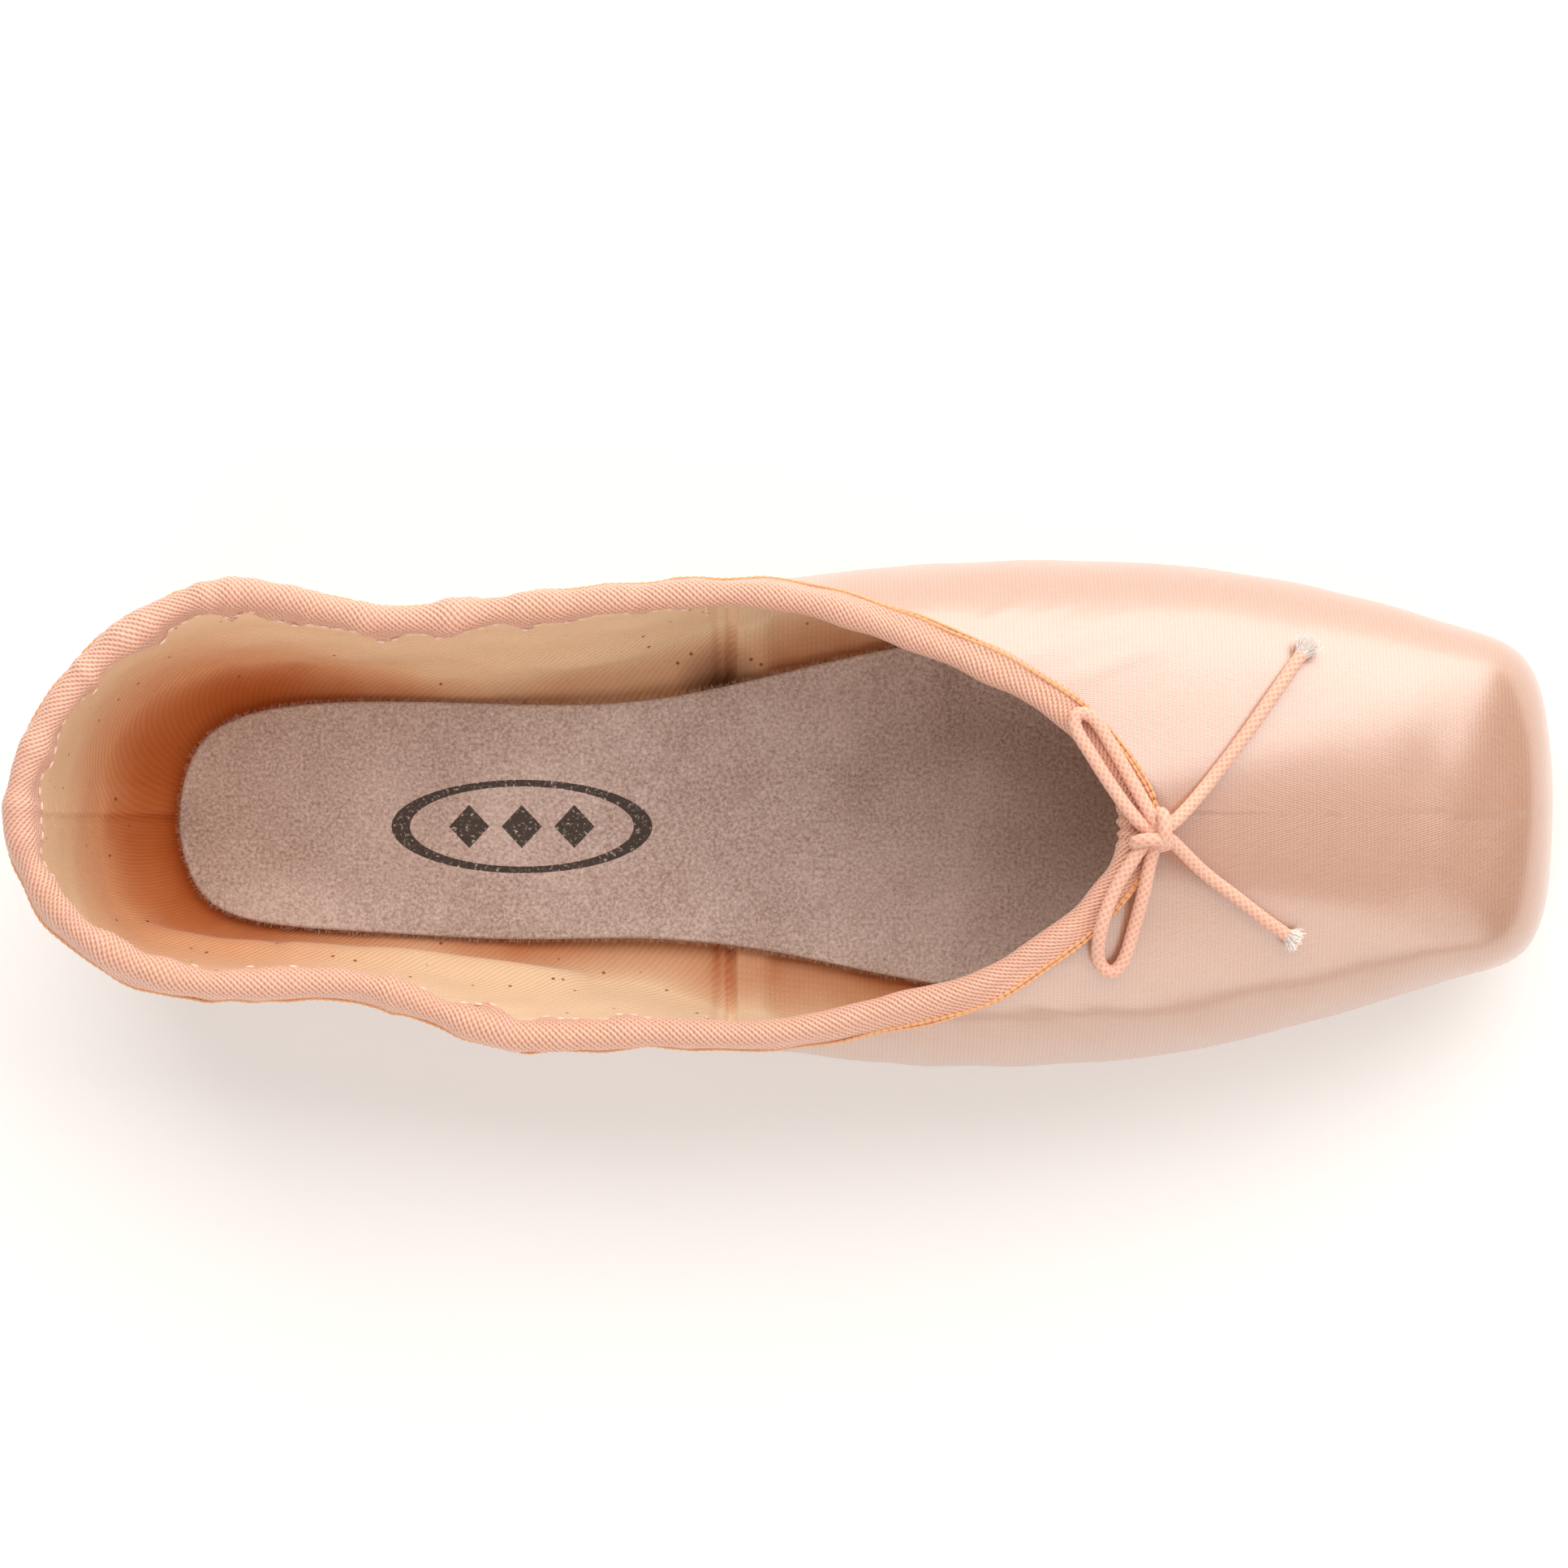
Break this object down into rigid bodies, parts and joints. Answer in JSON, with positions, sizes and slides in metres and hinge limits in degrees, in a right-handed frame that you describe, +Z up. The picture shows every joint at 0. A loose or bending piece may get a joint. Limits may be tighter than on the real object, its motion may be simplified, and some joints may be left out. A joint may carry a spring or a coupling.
{
  "type": "pointe shoe",
  "caption": "Satin pointe shoe with a stiff flat-tipped toe box, leather outsole, bound collar and a drawstring bow at the throat.",
  "frame": {"origin": "on the floor, in the middle of the shoe's length and width", "axes": "+X towards the toe, +Y to the wearer's left, +Z up"},
  "size_m": [0.2284, 0.076, 0.055],
  "materials": {
    "satin": "pale pink satin with a soft sheen",
    "twill_tape": "matt cotton twill tape",
    "suede": "brushed suede",
    "sole_leather": "buffed sole leather",
    "cord": "braided cotton"
  },
  "bodies": {
    "root": {"upper": "satin", "outsole": "sole_leather", "insole": "suede", "binding": "twill_tape", "drawstring_knot": "cord", "drawstring_loop_left": "cord", "drawstring_loop_right": "cord", "drawstring_end_left": "cord", "drawstring_end_right": "cord"}
  },
  "joints": []
}
